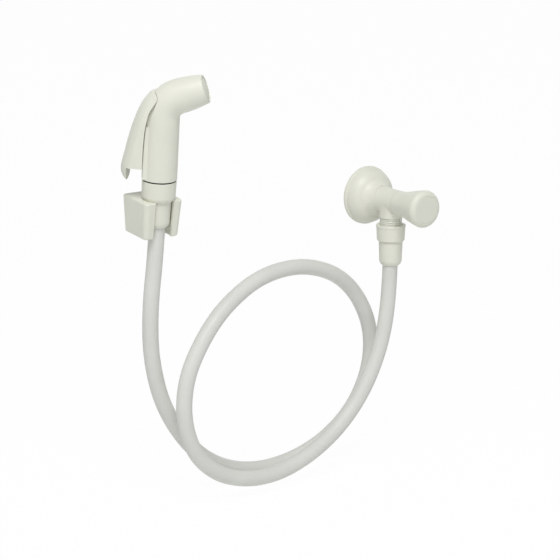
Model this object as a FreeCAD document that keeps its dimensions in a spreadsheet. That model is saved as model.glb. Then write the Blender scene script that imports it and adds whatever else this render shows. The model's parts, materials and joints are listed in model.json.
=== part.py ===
"""Handheld bidet shower set: wall valve, hose, trigger handset and wall holder.

Millimetres. The wall is the plane Y = 0 and the room lies towards -Y, with +Z up.
The origin is the middle of the valve's inlet, where its thread enters the wall.
"""
import FreeCAD, Part
import math
import os
from types import SimpleNamespace

import Sketcher
from FreeCAD import Placement, Rotation, Vector

SIZES = {
    # G1/2 pipe thread, used at the inlet, at the spout and on the handset
    "thread_radius": 10.4775,
    "thread_pitch": 1.814,
    "thread_depth": 0.9,
    "thread_clearance": 0.12,
    # wall valve, measured outwards from the wall
    "inlet_length": 13.0,
    "inlet_bore": 6.5,
    "barrel_radius": 12.3,
    "neck_radius": 11.1,
    "spout_reach": 36.0,
    "neck_run": 12.0,
    "spout_radius": 10.9,
    "spout_length": 15.0,
    "spout_end": 30.2,
    "spout_bore": 5.5,
    # domed cover plate
    "flange_radius": 27.1,
    "flange_lip": 2.6,
    "flange_step": 1.2,
    "flange_wall": 2.0,
    "dome_radius": 17.6,
    "dome_reach": 15.5,
    "flange_end_wall": 0.5,
    # quarter turn cartridge
    "cartridge_bore": 8.5,
    "cartridge_wall": 1.0,
    "cartridge_length": 28.0,
    "cartridge_collar": 10.0,
    "cartridge_collar_length": 2.4,
    "cartridge_clearance": 0.05,
    "port_radius": 3.4,
    "seal_length": 2.0,
    "disc_radius": 7.3,
    "disc_length": 2.6,
    "disc_hole": 1.9,
    "disc_hole_reach": 4.0,
    "drive_width": 2.6,
    "drive_length": 9.0,
    "drive_depth": 0.9,
    "spindle_radius": 4.0,
    "spindle_flange": 6.6,
    "spindle_flange_length": 2.0,
    "spindle_ring": 0.9,
    "spindle_run": 17.6,
    "running_clearance": 0.05,
    # knob
    "seam": 0.35,
    "knob_waist_radius": 13.3,
    "knob_waist_length": 16.0,
    "knob_radius": 17.1,
    "knob_edge_length": 4.5,
    "knob_edge_width": 3.7,
    "knob_length": 38.0,
    "knob_waist_curve": 56.0,
    "knob_swell_curve": 205.0,
    "knob_edge_curve": 4.8,
    "knob_web": 4.0,
    "knob_hollow": 11.6,
    "cap_radius": 12.4,
    "cap_length": 1.6,
    "screw_radius": 1.9,
    "screw_length": 9.0,
    "screw_head_radius": 3.8,
    "screw_head_length": 2.4,
    # hose fittings, measured from the sealing face along the hose
    "washer_radius": 9.8,
    "washer_hole": 5.6,
    "washer_length": 2.0,
    "tail_flange_length": 1.8,
    "tail_neck": 6.0,
    "tail_end": 26.0,
    "tail_stem": 4.2,
    "tail_barb": 0.25,
    "tail_bore": 3.0,
    "barb_length": 4.4,
    "nut_shoulder": 2.6,
    "nut_hole_clearance": 0.3,
    "sleeve_top_radius": 11.1,
    "sleeve_low_radius": 10.4,
    "sleeve_length": 23.1,
    "sleeve_gap": 0.3,
    "sleeve_roof": 1.3,
    "sleeve_mouth_radius": 7.9,
    "sleeve_round": 5.6,
    "sleeve_groove_width": 0.8,
    "sleeve_groove_depth": 0.35,
    "sleeve_groove_reach": 1.7,
    # nut under the spout
    "spout_nut_reach": 8.2,
    "spout_nut_radius": 13.6,
    "spout_nut_low_radius": 12.7,
    "spout_nut_rim": 1.6,
    # collar nut under the handset
    "collar_radius": 14.75,
    "collar_low_radius": 14.4,
    "collar_cone_length": 3.7,
    "collar_end_radius": 12.0,
    # hose
    "hose_radius": 7.0,
    "hose_bore": 4.5,
    # handset grip, bend and nozzle, measured upwards from the grip's lower end
    "grip_radius": 15.0,
    "grip_foot": 2.0,
    "shoulder_half_width": 11.8,
    "shoulder_gap": 0.5,
    "bend_radius": 14.8,
    "nozzle_radius": 12.0,
    "nozzle_taper_curve": 118.0,
    "nozzle_lip": 0.9,
    "bend_height": 69.5,
    "bend_curve": 19.7,
    "nozzle_length": 37.9,
    "joint_neck_length": 10.2,
    "joint_bore": 6.5,
    "water_bore": 3.4,
    "joint_ring_radius": 14.2,
    "joint_ring_length": 1.2,
    # spray plate in the nozzle's mouth
    "plate_radius": 10.7,
    "plate_length": 2.0,
    "plate_recess": 0.5,
    "plate_seal_length": 1.2,
    "spray_chamber_radius": 8.8,
    "spray_chamber_length": 7.0,
    "spray_hole": 0.55,
    "spray_ring_pitch": 2.9,
    # trigger valve inside the grip
    "plunger_height": 36.0,
    "gland_radius": 6.4,
    "gland_bore": 2.05,
    "gland_head_radius": 7.0,
    "gland_head_reach": 17.2,
    "gland_head_length": 1.6,
    "gland_end_reach": 3.0,
    "plunger_radius": 2.0,
    "plunger_head_radius": 3.4,
    "plunger_head_length": 2.2,
    "plunger_foot_radius": 4.0,
    "plunger_foot_length": 1.2,
    "plunger_gap": 0.45,
    "valve_washer_radius": 4.8,
    "valve_washer_length": 1.5,
    "valve_chamber_end": 8.0,
    "plunger_ring": 0.8,
    "spring_radius": 2.9,
    "spring_wire": 0.3,
    "spring_coils": 3.5,
    # trigger, its hinge at the back of the bend
    "pivot_inset": 8.4,
    "pivot_height": 72.4,
    "pin_radius": 1.5,
    "pin_near_end": 7.6,
    "pin_far_end": 9.6,
    "root_radius": 5.1,
    "root_clearance": 0.4,
    "lug_radius": 2.6,
    "lug_half_width": 5.0,
    "lug_clearance": 0.5,
    "trigger_wall": 1.8,
    "trigger_skirt": 12.4,
    "side_flat": 9.4,
    # wall holder, measured along the handset's axis
    "holder_top_reach": 15.9,
    "holder_length": 32.9,
    "holder_half_width": 18.9,
    "holder_low_half_width": 17.4,
    "holder_front": 10.3,
    "holder_low_front": 8.4,
    "holder_corner": 4.5,
    "holder_rim": 1.6,
    "holder_foot": 2.2,
    "holder_bore": 11.5,
    "slot_half_width": 9.3,
    "back_plate": 5.0,
    "cavity_half_width": 13.9,
    "cavity_start": 6.0,
    "cavity_roof": 2.6,
    "seat_clearance": 0.05,
    "mount_hole": 2.25,
    "mount_countersink": 4.4,
    "mount_spacing": 17.0,
    "mount_height": 17.2,
    # where the handset hangs, and how it is turned
    "handset_x": -248.5,
    "handset_y": -26.9,
    "handset_z": 46.8,
    "lean_angle": 6.0,
    "turn_angle": 42.0,
    "nozzle_angle": 20.4,
}

# The trigger's outside: height, reach from the grip's axis, half width and crown of its section
TRIGGER_STATIONS = (
    (-1.4, 24.0, 14.2, 8.2),
    (2.0, 30.0, 14.2, 8.2),
    (5.5, 32.1, 14.2, 8.2),
    (11.0, 32.9, 14.2, 8.2),
    (20.0, 31.3, 14.2, 8.2),
    (36.0, 27.8, 14.2, 8.2),
    (54.0, 22.8, 13.7, 7.8),
    (68.5, 16.7, 11.6, 6.8),
    (80.0, 6.9, 9.6, 5.4),
)

# The hose's route from the handset's sleeve to the valve's sleeve, between its two straight ends
HOSE_ROUTE = (
    (-257.0, -22.0, -66.0),
    (-255.0, -20.0, -115.0),
    (-239.0, -18.0, -165.0),
    (-201.0, -16.0, -214.0),
    (-148.0, -15.0, -238.0),
    (-86.0, -15.0, -235.0),
    (-34.0, -15.0, -209.0),
    (-7.0, -16.0, -167.0),
    (-8.0, -19.0, -118.0),
    (-41.0, -24.0, -70.0),
    (-93.0, -30.0, -47.0),
    (-147.0, -35.0, -48.0),
    (-190.0, -40.0, -68.0),
    (-218.0, -44.0, -94.0),
    (-238.0, -47.0, -126.0),
    (-242.0, -49.0, -164.0),
    (-228.0, -50.0, -200.0),
    (-194.0, -50.0, -225.0),
    (-143.0, -49.0, -233.0),
    (-87.0, -47.0, -216.0),
    (-42.0, -44.0, -182.0),
    (-13.0, -41.0, -134.0),
)


class Size:
    """A number together with the formula that ties it to the sheet of sizes."""

    def __init__(self, number, formula):
        self.number = number
        self.formula = formula

    def joined(self, other, sign, number):
        return Size(number, "(%s %s %s)" % (self.formula, sign, as_size(other).formula))

    def __add__(self, other):
        return self.joined(other, "+", self.number + as_size(other).number)

    def __sub__(self, other):
        return self.joined(other, "-", self.number - as_size(other).number)

    def __mul__(self, other):
        return self.joined(other, "*", self.number * as_size(other).number)

    def __truediv__(self, other):
        return self.joined(other, "/", self.number / as_size(other).number)

    def __radd__(self, other):
        return as_size(other) + self

    def __rsub__(self, other):
        return as_size(other) - self

    def __rmul__(self, other):
        return as_size(other) * self

    def __neg__(self):
        return Size(-self.number, "(0 - %s)" % self.formula)


def as_size(value):
    """A plain number as a Size of its own."""
    if isinstance(value, Size):
        return value
    return Size(float(value), "%.6g" % value)


doc = FreeCAD.newDocument("BidetShower")
sheet = doc.addObject("Spreadsheet::Sheet", "Sizes")
for row, (alias, value) in enumerate(SIZES.items(), start=1):
    sheet.set("A%d" % row, alias)
    sheet.set("B%d" % row, str(value))
    sheet.setAlias("B%d" % row, alias)
doc.recompute()
s = SimpleNamespace(**{alias: Size(float(value), "Sizes." + alias) for alias, value in SIZES.items()})
s.neck_reach = s.spout_reach + s.neck_run
s.flange_reach = s.spout_reach - s.spout_radius - s.running_clearance
s.cartridge_start = s.neck_reach - s.cartridge_length
s.spindle_end = s.neck_reach + s.spindle_run
s.knob_waist_reach = s.neck_reach + s.knob_waist_length
s.knob_reach = s.neck_reach + s.knob_length
s.knob_shoulder_reach = s.knob_reach - s.knob_edge_length
s.knob_face_radius = s.knob_radius - s.knob_edge_width
s.collar_reach = s.joint_neck_length + s.grip_foot - s.joint_ring_length

pieces = {}

# Frames. A local Z axis runs out of the wall, down the spout, or up the handset.
valve_place = Placement(Vector(), Rotation(Vector(1, 0, 0), 90))
spout_seal_place = Placement(
    Vector(0, -s.spout_reach.number, -s.spout_end.number), Rotation(Vector(1, 0, 0), 180)
)
handset_corner = Vector(s.handset_x.number, s.handset_y.number, s.handset_z.number)
holder_place = Placement(handset_corner, Rotation(Vector(1, 0, 0), s.lean_angle.number))
handset_place = holder_place.multiply(
    Placement(Vector(), Rotation(Vector(0, 0, 1), -s.turn_angle.number))
)
handset_seal_place = handset_place.multiply(
    Placement(Vector(0, 0, -s.joint_neck_length.number), Rotation(Vector(1, 0, 0), 180))
)


def bind(feature, name, value):
    """Give a feature's property its number and tie it to the sheet."""
    value = as_size(value)
    setattr(feature, name, value.number)
    feature.setExpression(name, value.formula)


def new_body(label, place):
    """An empty body with its own label and placement."""
    body = doc.addObject("PartDesign::Body", label)
    body.Label = label
    body.Placement = place
    pieces[label] = body
    return body


def new_sketch(body, name, plane="XZ_Plane", offset=None):
    """A sketch on one of the body's own origin planes, moved from it by an offset."""
    sketch = body.newObject("Sketcher::SketchObject", name)
    origin_plane = next(part for part in body.Origin.OriginFeatures if part.Role == plane)
    sketch.AttachmentSupport = [(origin_plane, "")]
    sketch.MapMode = "FlatFace"
    if offset is not None:
        sketch.AttachmentOffset = offset
    return sketch


def add_bound(sketch, kind, where, value):
    """One dimension of a sketch, tied to the sheet."""
    value = as_size(value)
    index = sketch.addConstraint(Sketcher.Constraint(kind, *where, value.number))
    sketch.setExpression("Constraints[%d]" % index, value.formula)


def arc_between(start, end, bend):
    """The shorter arc from start to end; its centre is on the left of the way for a positive bend."""
    way = end - start
    middle = (start + end) * 0.5
    left = Vector(-way.y, way.x, 0).normalize()
    rise = math.sqrt(bend * bend - way.Length * way.Length / 4)
    centre = middle + left * math.copysign(rise, bend)
    first = math.atan2(start.y - centre.y, start.x - centre.x)
    last = math.atan2(end.y - centre.y, end.x - centre.x)
    if bend < 0:
        first, last = last, first
    return Part.ArcOfCircle(Part.Circle(centre, Vector(0, 0, 1), abs(bend)), first, last)


def draw_outline(sketch, points):
    """A closed outline. Each point is (across, up) or (across, up, bend of the arc to the next)."""
    count = len(points)
    spots = [Vector(as_size(p[0]).number, as_size(p[1]).number, 0) for p in points]
    shapes = []
    for index, point in enumerate(points):
        following = spots[(index + 1) % count]
        if len(point) == 3:
            shapes.append(arc_between(spots[index], following, as_size(point[2]).number))
        else:
            shapes.append(Part.LineSegment(spots[index], following))
    sketch.addGeometry(shapes, False)
    ends = [(2, 1) if len(p) == 3 and as_size(p[2]).number < 0 else (1, 2) for p in points]
    joins = []
    for index in range(count):
        following = (index + 1) % count
        joins.append(
            Sketcher.Constraint("Coincident", index, ends[index][1], following, ends[following][0])
        )
    sketch.addConstraint(joins)
    for index, point in enumerate(points):
        add_bound(sketch, "DistanceX", (-1, 1, index, ends[index][0]), point[0])
        add_bound(sketch, "DistanceY", (-1, 1, index, ends[index][0]), point[1])
        if len(point) == 3:
            bend = as_size(point[2])
            add_bound(sketch, "Radius", (index,), bend if bend.number > 0 else -bend)


def draw_circles(sketch, circles):
    """Circles given as (across, up, radius)."""
    for across, up, radius in circles:
        across, up, radius = as_size(across), as_size(up), as_size(radius)
        centre = Vector(across.number, up.number, 0)
        index = sketch.addGeometry(Part.Circle(centre, Vector(0, 0, 1), radius.number), False)
        add_bound(sketch, "DistanceX", (-1, 1, index, 3), across)
        add_bound(sketch, "DistanceY", (-1, 1, index, 3), up)
        add_bound(sketch, "Radius", (index,), radius)


def turn(body, name, points, cut=False, plane="XZ_Plane", offset=None):
    """Turn an outline of (radius, height) points about the upright axis of its sketch."""
    sketch = new_sketch(body, name + "_profile", plane, offset)
    draw_outline(sketch, points)
    kind = "PartDesign::Groove" if cut else "PartDesign::Revolution"
    feature = body.newObject(kind, name)
    feature.Profile = sketch
    feature.ReferenceAxis = (sketch, ["V_Axis"])
    feature.Angle = 360
    sketch.Visibility = False
    return feature


def raise_sketch(body, name, sketch, length, both_ways=False, reverse=False, cut=False):
    """Pad or pocket a finished sketch by a length."""
    feature = body.newObject("PartDesign::Pocket" if cut else "PartDesign::Pad", name)
    feature.Profile = sketch
    bind(feature, "Length", length)
    feature.Midplane = both_ways
    feature.Reversed = reverse
    sketch.Visibility = False
    return feature


def round_edges(body, name, radius, wanted):
    """Fillet the edges of the body's last feature that pass a test."""
    doc.recompute()
    base = body.Tip
    names = [
        "Edge%d" % number
        for number, edge in enumerate(base.Shape.Edges, start=1)
        if wanted(edge)
    ]
    if not names:
        raise RuntimeError("no edge found for " + name)
    fillet = body.newObject("PartDesign::Fillet", name)
    fillet.Base = (base, names)
    bind(fillet, "Radius", radius)
    return fillet


def is_circle(edge, radius, height=None):
    """Whether an edge is a circle about the body's Z axis, of a radius and at a height."""
    if not isinstance(edge.Curve, Part.Circle):
        return False
    if abs(edge.Curve.Radius - radius.number) > 1e-4:
        return False
    return height is None or abs(edge.Curve.Center.z - as_size(height).number) < 1e-4


def ring(label, place, height, radius, section):
    """A round rubber ring about the place's Z axis."""
    torus = doc.addObject("Part::Torus", label)
    torus.Label = label
    bind(torus, "Radius1", radius)
    bind(torus, "Radius2", section)
    torus.Placement = place.multiply(Placement(Vector(0, 0, as_size(height).number), Rotation()))
    pieces[label] = torus
    return torus


def washer(label, place, start, length, radius, hole):
    """A flat ring from one height to another."""
    body = new_body(label, place)
    turn(body, label + "_ring", [
        (hole, start), (radius, start), (radius, start + length), (hole, start + length),
    ])
    return body


def valve_body():
    """Barrel with the inlet thread behind the wall and the threaded spout below."""
    body = new_body("valve_body", valve_place)
    turn(body, "barrel", [
        (0, -s.inlet_length),
        (s.thread_radius, -s.inlet_length),
        (s.thread_radius, 0),
        (s.barrel_radius, 0),
        (s.barrel_radius, s.flange_reach, -150),
        (s.neck_radius, s.neck_reach),
        (0, s.neck_reach),
    ])
    spout = new_sketch(body, "spout_section")
    draw_circles(spout, [(0, s.spout_reach, s.spout_radius)])
    raise_sketch(body, "spout", spout, s.spout_length)
    thread = new_sketch(body, "spout_thread_section")
    draw_circles(thread, [(0, s.spout_reach, s.thread_radius)])
    raise_sketch(body, "spout_thread", thread, s.spout_end)
    groove = new_sketch(body, "thread_groove_profile", "YZ_Plane")
    first = s.spout_length + s.thread_pitch * 0.75
    half = s.thread_pitch * 0.42
    crest = s.spout_reach + s.thread_radius
    draw_outline(groove, [
        (-first - half, crest + 0.2),
        (-first + half, crest + 0.2),
        (-first, crest - s.thread_depth),
    ])
    axis = groove.addGeometry(
        Part.LineSegment(Vector(-40, s.spout_reach.number, 0), Vector(-1, s.spout_reach.number, 0)), True
    )
    add_bound(groove, "DistanceY", (-1, 1, axis, 1), s.spout_reach)
    groove.addConstraint(Sketcher.Constraint("Horizontal", axis))
    doc.recompute()
    cut = body.newObject("PartDesign::Groove", "thread_groove")
    cut.Profile = groove
    cut.ReferenceAxis = (groove, ["Axis0"])
    cut.Angle = 360
    groove.Visibility = False
    doc.recompute()
    pattern = body.newObject("PartDesign::LinearPattern", "thread_grooves")
    pattern.Originals = [cut]
    pattern.Direction = (groove, ["Axis0"])
    pattern.Reversed = True
    pattern.Length = s.thread_pitch.number * 6
    pattern.setExpression("Length", (s.thread_pitch * 6).formula)
    pattern.Occurrences = 7
    body.Tip = pattern
    turn(body, "inlet_bore", [
        (0, -s.inlet_length - 1),
        (s.inlet_bore, -s.inlet_length - 1),
        (s.inlet_bore, s.cartridge_start),
        (s.cartridge_bore, s.cartridge_start),
        (s.cartridge_bore, s.neck_reach + 1),
        (0, s.neck_reach + 1),
    ], cut=True)
    bore = new_sketch(body, "spout_bore_section")
    draw_circles(bore, [(0, s.spout_reach, s.spout_bore)])
    raise_sketch(body, "spout_bore", bore, s.spout_end + 1, reverse=True, cut=True)
    return body


def wall_flange():
    """Domed cover that slides over the barrel, hollow behind."""
    body = new_body("wall_flange", valve_place)
    edge = s.flange_radius - s.flange_step
    collar = s.barrel_radius + s.running_clearance
    turn(body, "dome", [
        (s.flange_radius - s.flange_wall, 0),
        (s.flange_radius, 0),
        (s.flange_radius, s.flange_lip),
        (edge, s.flange_lip + 0.4, 14.5),
        (s.dome_radius, s.dome_reach, (s.dome_reach - s.flange_reach) * 1.57),
        (collar + s.flange_end_wall, s.flange_reach),
        (collar, s.flange_reach),
        (collar, s.dome_reach + s.flange_wall, 9),
        (s.dome_radius - s.flange_wall, s.dome_reach - s.flange_wall * 0.6, -15),
        (edge - s.flange_wall, s.flange_lip),
    ])
    round_edges(body, "lip_rounding", 0.8,
                lambda edge: is_circle(edge, s.flange_radius, s.flange_lip))
    return body


def cartridge():
    """The housing, the two discs, their seal and the spindle with its ring."""
    outer = s.cartridge_bore - s.cartridge_clearance
    inner = outer - s.cartridge_wall
    seal_end = s.cartridge_start + s.seal_length
    fixed_end = seal_end + s.disc_length
    turning_start = fixed_end + s.running_clearance
    turning_end = turning_start + s.disc_length
    flange_start = turning_end + 0.1
    flange_end = flange_start + s.spindle_flange_length
    roof = s.spout_reach + s.port_radius + 0.6
    collar_start = s.neck_reach
    collar_end = collar_start + s.cartridge_collar_length
    spindle_bore = s.spindle_radius + s.running_clearance
    washer("disc_seal", valve_place, s.cartridge_start, s.seal_length, inner - 0.1, s.inlet_bore - 1.5)

    housing = new_body("cartridge_housing", valve_place)
    turn(housing, "housing_tube", [
        (inner, s.cartridge_start + 0.05),
        (outer, s.cartridge_start + 0.05),
        (outer, collar_start),
        (s.cartridge_collar, collar_start),
        (s.cartridge_collar, collar_end),
        (spindle_bore, collar_end),
        (spindle_bore, roof),
        (inner, roof),
    ])
    port = new_sketch(housing, "port_section")
    draw_circles(port, [(0, s.spout_reach, s.port_radius)])
    raise_sketch(housing, "ports", port, outer * 3, both_ways=True, cut=True)

    for label, start, end in (
        ("fixed_disc", seal_end, fixed_end),
        ("turning_disc", turning_start, turning_end),
    ):
        disc = new_body(label, valve_place)
        turn(disc, label + "_blank", [(0, start), (s.disc_radius, start), (s.disc_radius, end), (0, end)])
        holes = new_sketch(disc, label + "_holes", "XY_Plane")
        draw_circles(holes, [(s.disc_hole_reach, 0, s.disc_hole), (-s.disc_hole_reach, 0, s.disc_hole)])
        raise_sketch(disc, label + "_water_holes", holes, end * 2 + 2, both_ways=True, cut=True)
        if label == "turning_disc":
            slot = new_sketch(
                disc, "drive_slot_section", "XY_Plane",
                Placement(Vector(0, 0, end.number), Rotation()),
            )
            slot.setExpression("AttachmentOffset.Base.z", end.formula)
            width = s.drive_width / 2 + s.running_clearance
            length = s.drive_length / 2 + s.running_clearance
            draw_outline(slot, [(-width, -length), (width, -length), (width, length), (-width, length)])
            raise_sketch(disc, "drive_slot", slot, s.drive_depth + 0.1, cut=True)

    spindle = new_body("spindle", valve_place)
    groove_middle = s.neck_reach - 3
    groove_half = s.spindle_ring * 1.1
    groove_radius = s.spindle_radius + s.running_clearance - s.spindle_ring * 2
    turn(spindle, "stem", [
        (0, flange_start),
        (s.spindle_flange, flange_start),
        (s.spindle_flange, flange_end),
        (s.spindle_radius, flange_end),
        (s.spindle_radius, groove_middle - groove_half),
        (groove_radius, groove_middle - groove_half),
        (groove_radius, groove_middle + groove_half),
        (s.spindle_radius, groove_middle + groove_half),
        (s.spindle_radius, s.spindle_end),
        (s.screw_radius, s.spindle_end),
        (s.screw_radius, s.spindle_end - s.screw_length),
        (0, s.spindle_end - s.screw_length),
    ])
    tongue = new_sketch(
        spindle, "tongue_section", "XY_Plane", Placement(Vector(0, 0, flange_start.number), Rotation())
    )
    tongue.setExpression("AttachmentOffset.Base.z", flange_start.formula)
    width = s.drive_width / 2
    length = s.drive_length / 2
    draw_outline(tongue, [(-width, -length), (width, -length), (width, length), (-width, length)])
    raise_sketch(spindle, "tongue", tongue, s.drive_depth, reverse=True)
    flat = new_sketch(spindle, "knob_flat_section", "YZ_Plane")
    flat_side = s.spindle_radius * 0.75
    flat_start = s.spindle_end - 10
    draw_outline(flat, [
        (flat_side, flat_start), (s.spindle_radius + 1, flat_start),
        (s.spindle_radius + 1, s.spindle_end + 1), (flat_side, s.spindle_end + 1),
    ])
    raise_sketch(spindle, "knob_flat", flat, s.spindle_radius * 3, both_ways=True, cut=True)
    ring("spindle_ring", valve_place, groove_middle, groove_radius + s.spindle_ring, s.spindle_ring)


def knob():
    """Flared knob with its screw and its flat cover."""
    body = new_body("knob", valve_place)
    start = s.neck_reach + s.seam
    recess = s.neck_reach + s.cartridge_collar_length + s.seam
    web_start = s.spindle_end + 0.3
    web_end = web_start + s.knob_web
    socket = s.spindle_radius + s.running_clearance
    cap_start = s.knob_reach - s.cap_length
    turn(body, "knob_shell", [
        (s.cartridge_collar + s.seam, start),
        (s.neck_radius, start, -s.knob_waist_curve),
        (s.knob_waist_radius, s.knob_waist_reach, s.knob_swell_curve),
        (s.knob_radius, s.knob_shoulder_reach, s.knob_edge_curve),
        (s.knob_face_radius, s.knob_reach),
        (s.cap_radius + s.running_clearance, s.knob_reach),
        (s.cap_radius + s.running_clearance, cap_start),
        (s.knob_hollow, cap_start),
        (s.knob_hollow, web_end),
        (s.screw_radius + 0.2, web_end),
        (s.screw_radius + 0.2, web_start),
        (socket, web_start),
        (socket, recess),
        (s.cartridge_collar + s.seam, recess),
    ])
    cap = new_body("knob_cap", valve_place)
    turn(cap, "cap_disc", [
        (0, cap_start), (s.cap_radius, cap_start), (s.cap_radius, s.knob_reach), (0, s.knob_reach),
    ])
    round_edges(cap, "cap_rounding", 0.25,
                lambda edge: is_circle(edge, s.cap_radius, s.knob_reach))
    screw = new_body("knob_screw", valve_place)
    shank = s.screw_radius - 0.05
    turn(screw, "screw_form", [
        (0, web_end - s.screw_length + 0.5),
        (shank, web_end - s.screw_length + 0.5),
        (shank, web_end),
        (s.screw_head_radius, web_end),
        (s.screw_head_radius, web_end + s.screw_head_length),
        (0, web_end + s.screw_head_length),
    ])
    recess_sketch = new_sketch(
        screw, "driver_section", "XY_Plane",
        Placement(Vector(0, 0, (web_end + s.screw_head_length).number), Rotation()),
    )
    recess_sketch.setExpression("AttachmentOffset.Base.z", (web_end + s.screw_head_length).formula)
    arm = s.screw_head_radius * 0.62
    half = s.screw_head_radius * 0.14
    draw_outline(recess_sketch, [
        (half, half), (half, arm), (-half, arm), (-half, half), (-arm, half), (-arm, -half),
        (-half, -half), (-half, -arm), (half, -arm), (half, -half), (arm, -half), (arm, half),
    ])
    raise_sketch(screw, "driver_recess", recess_sketch, s.screw_head_length * 0.6, cut=True)


def hose_end(prefix, place):
    """Sealing washer, barbed tail and covering sleeve at one end of the hose."""
    flange_end = s.washer_length + s.tail_flange_length
    nut_end = flange_end + s.nut_shoulder
    sleeve_start = nut_end + s.sleeve_gap
    sleeve_end = sleeve_start + s.sleeve_length
    hose_start = sleeve_start + s.sleeve_roof
    washer(prefix + "_washer", place, 0, s.washer_length, s.washer_radius, s.washer_hole)

    tail = new_body(prefix + "_tail", place)
    stem = [(s.tail_bore, s.washer_length), (s.washer_radius, s.washer_length)]
    stem += [(s.washer_radius, flange_end), (s.tail_neck, flange_end), (s.tail_neck, hose_start)]
    for number in range(4):
        foot = hose_start + s.barb_length * number
        stem.append((s.tail_stem, foot))
        stem.append((s.tail_stem + s.tail_barb, foot + 0.4))
    stem.append((s.tail_stem - 0.3, hose_start + s.barb_length * 4))
    stem.append((s.tail_bore, hose_start + s.barb_length * 4))
    turn(tail, prefix + "_tail_form", stem)

    sleeve = new_body(prefix + "_sleeve", place)
    neck_hole = s.tail_neck + 0.1
    hose_hole = s.hose_radius + 0.1
    groove_start = sleeve_start + s.sleeve_groove_reach
    groove_end = groove_start + s.sleeve_groove_width
    groove_floor = s.sleeve_top_radius - s.sleeve_groove_depth
    round_start = sleeve_end - s.sleeve_round
    turn(sleeve, prefix + "_sleeve_form", [
        (neck_hole, sleeve_start),
        (s.sleeve_top_radius, sleeve_start),
        (s.sleeve_top_radius, groove_start),
        (groove_floor, groove_start + s.sleeve_groove_width * 0.25),
        (groove_floor, groove_end - s.sleeve_groove_width * 0.25),
        (s.sleeve_top_radius - 0.1, groove_end),
        (s.sleeve_low_radius, round_start, s.sleeve_round * 1.15),
        (s.sleeve_mouth_radius, sleeve_end),
        (hose_hole, sleeve_end),
        (hose_hole, hose_start),
        (neck_hole, hose_start),
    ])
    return hose_start


def nuts():
    """The conical nut under the spout and the collar nut under the handset."""
    bore = s.thread_radius + s.thread_clearance
    shoulder = s.washer_length + s.tail_flange_length
    end = shoulder + s.nut_shoulder
    hole = s.tail_neck + s.nut_hole_clearance
    nut = new_body("spout_nut", spout_seal_place)
    top = -s.spout_nut_reach
    turn(nut, "spout_nut_form", [
        (bore, top),
        (s.spout_nut_radius, top),
        (s.spout_nut_radius + 0.15, top + s.spout_nut_rim),
        (s.spout_nut_radius - 0.25, top + s.spout_nut_rim + 0.4),
        (s.spout_nut_low_radius, end),
        (hole, end),
        (hole, shoulder),
        (bore, shoulder),
    ])
    round_edges(nut, "spout_nut_rounding", 0.5, lambda edge: (
        is_circle(edge, s.spout_nut_radius, top) or is_circle(edge, s.spout_nut_low_radius, end)
    ))
    collar = new_body("handset_nut", handset_seal_place)
    top = -s.collar_reach
    turn(collar, "handset_nut_form", [
        (bore, top),
        (s.collar_radius, top),
        (s.collar_low_radius, end - s.collar_cone_length, 9),
        (s.collar_end_radius, end),
        (hole, end),
        (hole, shoulder),
        (bore, shoulder),
    ])
    round_edges(collar, "handset_nut_rounding", 0.4,
                lambda edge: is_circle(edge, s.collar_radius, top))


def bend_points():
    """The corner of the centre line, the nozzle's direction, its swing and the bend's reach."""
    rise = math.radians(s.nozzle_angle.number)
    swing = math.radians(90 - s.nozzle_angle.number)
    formula = "Sizes.bend_curve * tan(45 - Sizes.nozzle_angle / 2)"
    reach = Size(s.bend_curve.number * math.tan(swing / 2), formula)
    ahead = Vector(math.cos(rise), 0, math.sin(rise))
    corner = Vector(0, 0, s.bend_height.number)
    return corner, ahead, swing, reach


def nozzle_end_place():
    """The frame at the nozzle's mouth, with Z pointing out of it."""
    corner, ahead, swing, reach = bend_points()
    return Placement(
        corner + ahead * s.nozzle_length.number, Rotation(Vector(0, 1, 0), math.degrees(swing))
    )


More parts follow.
